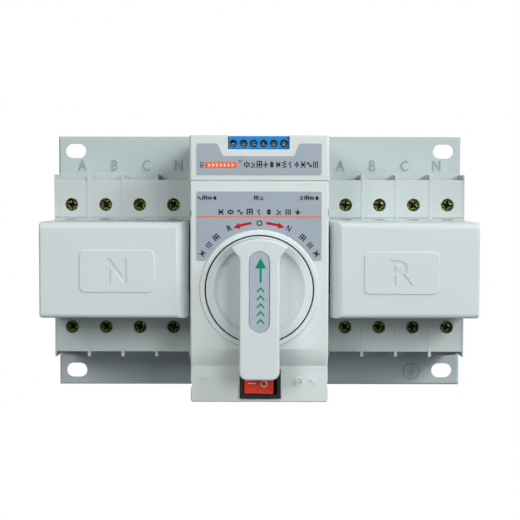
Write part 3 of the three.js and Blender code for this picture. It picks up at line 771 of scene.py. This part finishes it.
def pictogram(shapes, name):
    """Low raised signs on the lower panel."""
    y0, y1 = LOWER_PANEL - 0.45, LOWER_PANEL + 0.2
    solids = []
    for shape in shapes:
        if shape[0] == "ring":
            _, x, z, outer, stroke = shape
            solids.append(hoop(outer, stroke, y0, y1, x, z))
        else:
            _, points, stroke = shape
            solids.append(prism(ribbon(points, stroke), y0, y1))
    publish(gather(solids), name, ROOT, "cover_plastic")


def make_pictograms():
    """Left of the rocker: a hand lever and an arrow. Right of it: a motor and a wave."""
    z, stroke, size = BEZEL.z + 1.2, 0.45, 2.2
    left, right = -27.9, -19.5
    pictogram([
        ("ring", left, z, size, stroke),
        ("line", [(left, z - 1.1), (left, z + 1.6)], 0.8),
        ("line", [(right - size, z), (right + 1.6, z)], stroke),
        ("line", [(right + 0.2, z + 1.8), (right + size, z), (right + 0.2, z - 1.8)], stroke),
    ], "manual_signs")
    left, right = 20.0, 27.2
    wave = [(right + size * (i / 8 - 1), z + 1.5 * math.sin(math.pi * i / 8)) for i in range(17)]
    pictogram([
        ("ring", left, z, size, stroke),
        ("line", [(left - 1.2, z - 1.1), (left - 1.2, z + 1.1), (left, z - 0.4),
                  (left + 1.2, z + 1.1), (left + 1.2, z - 1.1)], stroke),
        ("line", wave, stroke),
    ], "motor_signs")


def strip_radius(middle, direction):
    if near(middle.y, STRIP.y0) and near(middle.z, STRIP.z1):
        return 0.8
    return 0.15 if middle.y < STRIP.y0 + 1 else 0


def make_drive_box():
    carry_over("front_cover", cover_radius, 4)
    make_seals()
    carry_over("terminal_cap", cap_radius, 4)
    carry_over("rear_case", everywhere(0.8), 3)
    make_pictograms()
    half, wire_holes = 1.3, []
    for way in range(1, STRIP_WAYS + 1):
        x = Span(f"control_screw_{way}").x
        wire_holes.append(block(x - half, x + half, STRIP.y0 + 7, STRIP.y0 + 10.5,
                                STRIP.z1 - 3, STRIP.z1 + 1))
        carry_over(f"control_screw_{way}", everywhere(0.15), 2)
    carry_over("control_strip", strip_radius, 2, cutters=wire_holes)


# ---------------------------------------------------------------- dial, lever and rocker
DISH_FLOOR = 21           # the radius at the foot of the dial's dish


def dial_radius(middle, direction):
    from_axis = math.hypot(middle.x, middle.z - DIAL_Z)
    if near(middle.y, DIAL.y0) and near(from_axis, DIAL.x1, 0.1):
        return 0.35
    if near(middle.y, DIAL.y0):
        return 0.25
    return 1.4 if near(from_axis, DISH_FLOOR, 0.1) else 0.1


def lever_radius(middle, direction):
    if not near(middle.y, LEVER.y0):
        return 0.2 if abs(direction.y) > 0.9 or middle.y > LEVER.y1 - 0.1 else 0
    in_foil = abs(middle.x) < LEVER_FOIL.x1 + 0.5 and LEVER_FOIL.z0 - 0.5 < middle.z < LEVER_FOIL.z1 + 0.5
    return 0.25 if in_foil else 1.1


def bezel_radius(middle, direction):
    if middle.y > BEZEL.y0 + 0.1:
        return 0
    on_rim = near(abs(middle.x), BEZEL.x1) or near(middle.z, BEZEL.z0) or near(middle.z, BEZEL.z1)
    return 0.8 if on_rim else 0.3


def foil_radius(middle, direction):
    return 0.9 if abs(direction.y) > 0.9 else 0


def make_controls():
    carry_over("dial_disc", dial_radius, 4)
    carry_over("lever_handle", lever_radius, 4)
    carry_over("lever_foil", everywhere(0.05), 1)
    carry_over("rocker_frame", bezel_radius, 3)
    carry_over("rocker_button", everywhere(0.35), 3)
    carry_over("cap_foil", foil_radius, 5)
    carry_over("cover_foil", foil_radius, 5)


# ---------------------------------------------------------------- printed marks
SIGNS = {
    "contact": [[(0.5, 0), (0.5, 0.3), (0.1, 0.8)], [(0.5, 0.72), (0.5, 1)]],
    "fuse": [[(0.25, 0.2), (0.25, 0.8), (0.75, 0.8), (0.75, 0.2), (0.17, 0.2)], [(0.5, 0), (0.5, 1)]],
    "coil": [[(0, 0.3), (0, 0.7), (1, 0.7), (1, 0.3), (-0.08, 0.3)], [(0.5, 0.7), (0.5, 1)],
             [(0.5, 0), (0.5, 0.3)]],
    "earth": [[(0.5, 1), (0.5, 0.5)], [(0, 0.5), (1, 0.5)], [(0.2, 0.28), (0.8, 0.28)],
              [(0.38, 0.06), (0.62, 0.06)]],
    "diode": [[(0, 0.5), (1, 0.5)], [(0.2, 0.12), (0.2, 0.88), (0.8, 0.5), (0.14, 0.08)],
              [(0.85, 0.1), (0.85, 0.9)]],
    "capacitor": [[(0.5, 0), (0.5, 0.38)], [(0, 0.38), (1, 0.38)], [(0, 0.62), (1, 0.62)],
                  [(0.5, 0.62), (0.5, 1)]],
    "crossed": [[(0, 0), (1, 1)], [(0, 1), (1, 0)], [(0, 0.5), (1, 0.5)]],
    "gate": [[(0, 0), (0, 1), (1, 1), (1, 0)], [(0, 0.5), (1, 0.5)], [(0.5, 0), (0.5, 1)]],
    "bars": [[(0.08, 0), (0.08, 1)], [(0.5, 0), (0.5, 1)], [(0.92, 0), (0.92, 1)]],
    "wave": [[(i / 8, 0.5 + 0.36 * math.sin(2 * math.pi * i / 8)) for i in range(9)]],
    "switch": [[(0, 0.1), (0.35, 0.1), (0.9, 0.65)], [(0.7, 0.1), (1, 0.1)], [(0.45, 0.5), (0.2, 0.9)]],
    "winding": [[(0.1, 0), (0.9, 0.2), (0.1, 0.4), (0.9, 0.6), (0.1, 0.8), (0.9, 1)]],
}


class Print:
    """Flat marks of one ink, each a thin closed solid on a foil's front."""

    def __init__(self, ink, y, thick=0.05):
        self.ink = ink
        self.y0 = y - thick
        self.y1 = y + thick
        self.solids = []

    def area(self, outline):
        self.solids.append(prism(outline, self.y0, self.y1))

    def line(self, points, width):
        self.area(ribbon(points, width))

    def ring(self, x, z, outer, width):
        self.solids.append(hoop(outer, width, self.y0, self.y1, x, z, 32))

    def letters(self, text, height, x, z, turn=0, wide=1):
        self.solids.append(lettering(text, height, x, z, self.y0, self.y1, turn, wide, bold=0.025))

    def sign(self, name, x, z, width, height, stroke, turn=0):
        """One circuit sign centred on (x, z) and turned clockwise."""
        angle = math.radians(turn)
        for points in SIGNS[name]:
            line = []
            for across, up in points:
                a, b = (across - 0.5) * width, (up - 0.5) * height
                line.append((x + a * math.cos(angle) + b * math.sin(angle),
                             z - a * math.sin(angle) + b * math.cos(angle)))
            self.line(line, stroke)

    def row(self, names, x, z, pitch, width, height, stroke):
        """Signs side by side, starting at x."""
        for index, name in enumerate(names):
            self.sign(name, x + pitch * index, z, width, height, stroke)

    def publish(self, name, body, slot):
        publish(gather(self.solids), name, body, slot, look=INKS[self.ink])


def around_dial(radius, angle):
    turn = math.radians(angle)
    return radius * math.cos(turn), DIAL_Z + radius * math.sin(turn)


def curved_arrow(marks, radius, start, stop, width):
    """An arc about the dial's axis that ends in an arrowhead at `stop`."""
    way = 1 if stop > start else -1
    head, half = 6.0, 1.5                            # degrees, millimetres
    marks.line([around_dial(radius, start + (stop - way * head - start) * i / 10) for i in range(11)], width)
    marks.area([around_dial(radius, stop), around_dial(radius + half, stop - way * head),
                around_dial(radius - half, stop - way * head)])


def print_cap_foil():
    """A patch of chevrons between small rings, and a row of signs."""
    y = CAP_FOIL.y0
    orange = Print("ink_orange", y)
    left, low = CAP_FOIL.x0 + 4.1, CAP_FOIL.z0 + 3.3
    long, high = 16, 3
    orange.area(rectangle(left, left + long, low, low + high))
    orange.publish("cap_patch", ROOT, "grey_foil")
    pale = Print("ink_pale", y - 0.05)
    first, pitch, arm = 2.2, 1.95, 0.75
    for step in range(7):
        x = left + first + step * pitch
        pale.line([(x - 0.6, low + arm), (x + 0.35, low + high / 2), (x - 0.6, low + high - arm)], 0.5)
    pale.publish("cap_chevrons", ROOT, "grey_foil")
    black = Print("ink_black", y)
    before, after = left - 1.6, left + long + 1.6
    for x, z, outer, width in ((before, 2.1, 1.0, 0.35), (before, 0.75, 0.75, 0.3), (after, 3.5, 0.75, 0.3)):
        black.ring(x, low + z, outer, width)
    names = ["coil", "switch", "gate", "earth", "fuse", "diode", "winding", "contact", "capacitor", "crossed",
             "wave", "bars"]
    black.row(names, left + 21, low + 1.8, pitch=3.14, width=2.3, height=3.2, stroke=0.5)
    black.publish("cap_signs", ROOT, "grey_foil")


def print_cover_foil():
    """Two rows of signs over a rule, and signs and arrows around the dial."""
    y = COVER_FOIL.y0
    small_row, main_row, rule = (COVER_FOIL.z1 - down for down in (3.3, 10.3, 12.7))
    black = Print("ink_black", y)
    for names, x, pitch in (
        (["wave", "gate", "coil", "fuse"], COVER_FOIL.x0 + 1.4, 2.6),
        (["gate", "switch"], -1.6, 2.7),
        (["winding", "gate", "coil", "fuse"], COVER_FOIL.x1 - 10.1, 2.6),
    ):
        black.row(names, x, small_row, pitch, width=1.9, height=1.9, stroke=0.45)
    names = ["crossed", "coil", "wave", "gate", "contact", "fuse", "switch", "bars", "earth"]
    black.row(names, -19.4, main_row, pitch=4.83, width=2.5, height=2.8, stroke=0.55)
    dial_signs, arrows = 34.0, 33.8
    black.letters("O", 2.9, *around_dial(dial_signs - 0.4, 90))
    black.letters("R", 3.0, *around_dial(dial_signs + 0.6, 115.9), turn=-26, wide=0.95)
    black.letters("N", 3.0, *around_dial(dial_signs + 0.3, 64.6), turn=26, wide=0.75)
    for angle, name in ((129.5, "gate"), (138.5, "bars"), (147.5, "crossed")):
        for side in (angle, 180 - angle):
            black.sign(name, *around_dial(dial_signs, side), 2.5, 2.8, 0.5, turn=90 - side)
    black.publish("cover_signs", ROOT, "grey_foil")
    orange = Print("ink_orange", y)
    orange.line([(COVER_FOIL.x0 + 0.1, rule), (COVER_FOIL.x1 - 0.1, rule)], 0.55)
    orange.publish("cover_rule", ROOT, "grey_foil")
    red = Print("ink_red", y)
    curved_arrow(red, arrows, 96.8, 113.2, 1.35)
    curved_arrow(red, arrows, 84.2, 67.8, 1.35)
    red.publish("cover_arrows", ROOT, "grey_foil")


def print_lever_foil():
    """An arrow towards the lever's head, with a column of chevrons below it."""
    green = Print("ink_green", LEVER_FOIL.y0)
    x, tip = LEVER_FOIL.x + 0.6, DIAL_Z + 17
    head, half, length, shaft_half = 5.2, 2.8, 12.2, 0.5
    green.area([(x, tip), (x + half, tip - head), (x - half, tip - head)])
    green.area(rectangle(x - shaft_half, x + shaft_half, tip - length, tip - head + 0.1))
    first, pitch, reach = 15.8, 3.9, 1.8
    for step in range(5):
        z = tip - first - step * pitch
        green.line([(x - reach, z - 1.1), (x, z + 0.9), (x + reach, z - 1.1)], 0.75)
    green.publish("lever_marks", body_of("lever_foil"), "lilac_foil")


def print_rocker():
    """The on and off marks lie on the button's two leaning faces."""
    stroke, lift, marks = 0.42, 0.3, []
    for side, x in ((-1, -3.7), (1, 2.4)):
        faces = [face for face in frame["nodes"]["rocker_button"].data.polygons
                 if face.normal.y < -0.5 and face.center.x * side > 0.0005]
        face = max(faces, key=lambda face: face.area)
        middle, normal = face.center / MM, face.normal
        y = middle.y - (x - middle.x) * normal.x / normal.y
        mark = Print("ink_pale", 0, 0.12)
        if side < 0:
            mark.line([(-1.9, 0), (1.9, 0)], stroke)
        else:
            mark.ring(0, 0, 1.8, stroke)
        solid = gather(mark.solids)
        turn = Vector((0, -1, 0)).rotation_difference(normal).to_matrix()
        for vert in solid.verts:
            vert.co = Vector((x, y, BUTTON.z + lift)) + turn @ vert.co
        marks.append(solid)
    publish(gather(marks), "rocker_marks", body_of("rocker_button"), "red_plastic", look=INKS["ink_pale"])


# ---------------------------------------------------------------- works inside
def make_works():
    radii = {
        "control_board": 0.1, "chassis": 0.3, "gear_box": 0.6, "drive_motor": 0.7, "drive_pinion": 0.1,
        "driven_gear": 0.12, "cam_disc": 0.4, "handle_shaft": 0.4,
    }
    for bank, _ in BANKS:
        radii[f"{bank}_rail"] = 0.15
        for part in ("toggles", "yoke", "limit_switch"):
            radii[f"{bank}_{part}"] = 0.3
    for name, radius in radii.items():
        carry_over(name, everywhere(radius), 2)


# ---------------------------------------------------------------- stage, light and camera
def make_stage():
    """A pale floor well below the switch, which hangs as it does on a wall."""
    floor_z, half = -0.45, 6
    bm = bmesh.new()
    corners = ((-half, -half), (half, -half), (half, half), (-half, half))
    bm.faces.new([bm.verts.new((x, y, floor_z)) for x, y in corners])
    floor = as_object(bm, "floor")
    pale = bpy.data.materials.new("pale_floor")
    pale.use_nodes = True
    tree = pale.node_tree
    glow = node(tree, "ShaderNodeEmission", {"Color": (1, 1, 1, 1), "Strength": 1.0})
    tree.links.new(glow.outputs["Emission"], tree.nodes["Material Output"].inputs["Surface"])
    floor.data.materials.append(pale)
    floor.visible_diffuse = False
    floor.visible_glossy = False
    floor.visible_shadow = False


def make_world():
    """A white surround for the camera, and for the light a soft dome, brighter below than above."""
    world = bpy.data.worlds.new("surround")
    bpy.context.scene.world = world
    world.use_nodes = True
    tree = world.node_tree
    tree.nodes.clear()
    place = node(tree, "ShaderNodeTexCoord").outputs["Generated"]
    height = node(tree, "ShaderNodeSeparateXYZ", {"Vector": place}).outputs["Z"]
    level = node(tree, "ShaderNodeMapRange", {
        "Value": height, "From Min": -0.8, "From Max": -0.1, "To Min": 0.22, "To Max": 0.06,
    }).outputs["Result"]
    dome = node(tree, "ShaderNodeBackground", {"Color": (0.95, 0.98, 1, 1), "Strength": level})
    white = node(tree, "ShaderNodeBackground", {"Color": (1, 1, 1, 1), "Strength": 1.0})
    seen = node(tree, "ShaderNodeLightPath").outputs["Is Camera Ray"]
    mix = node(tree, "ShaderNodeMixShader", {0: seen, 1: dome.outputs["Background"],
                                             2: white.outputs["Background"]})
    out = node(tree, "ShaderNodeOutputWorld")
    tree.links.new(mix.outputs["Shader"], out.inputs["Surface"])


def aimed_light(name, azimuth, elevation, size, power, glints_only=False):
    """A soft box aimed at the switch's middle. Azimuth runs from the front towards the right, in degrees;
    size is in metres and power in watts."""
    distance = 1.8
    centre = Vector((0, -0.06, 0))
    turn, rise = math.radians(azimuth), math.radians(elevation)
    way = Vector((math.sin(turn) * math.cos(rise), -math.cos(turn) * math.cos(rise), math.sin(rise)))
    data = bpy.data.lights.new(name, "AREA")
    data.size = size
    data.energy = power
    lamp = placed(name, data)
    lamp.visible_diffuse = not glints_only
    lamp.location = centre + way * distance
    lamp.rotation_euler = (-way).to_track_quat("-Z", "Y").to_euler()


def make_lights():
    """Daylight from the right and above, with weak light for the back and for the screw heads."""
    aimed_light("rake", 75, 40, 0.6, 16)
    aimed_light("left", -25, 20, 0.6, 12)
    aimed_light("right", 50, 30, 0.6, 9.5)
    aimed_light("front", 25, 13, 0.6, 10)
    aimed_light("back", 180, 5, 1.0, 8)
    aimed_light("glints", -20, -32, 0.7, 4, glints_only=True)


def make_camera():
    """In front of the dial and a little above it, tilted down at the switch."""
    data = bpy.data.cameras.new("camera")
    data.sensor_width = 36
    data.lens = 100.16
    camera = placed("camera", data)
    place, tilt, roll = (0.0003, -0.8242, 0.0443), math.radians(3.064), math.radians(0.1)
    upright = Matrix.Rotation(math.radians(90) - tilt, 4, "X")
    camera.matrix_world = Matrix.Translation(place) @ upright @ Matrix.Rotation(roll, 4, "Z")
    bpy.context.scene.camera = camera
    bpy.context.scene.view_settings.view_transform = "Standard"


make_camera()
make_stage()
make_world()
make_lights()
make_plate()
make_poles()
make_pole_ribs()
make_screws()
make_clamps()
make_guards()
make_drive_box()
make_controls()
make_works()
print_cap_foil()
print_cover_foil()
print_lever_foil()
print_rocker()

bpy.context.view_layer.update()
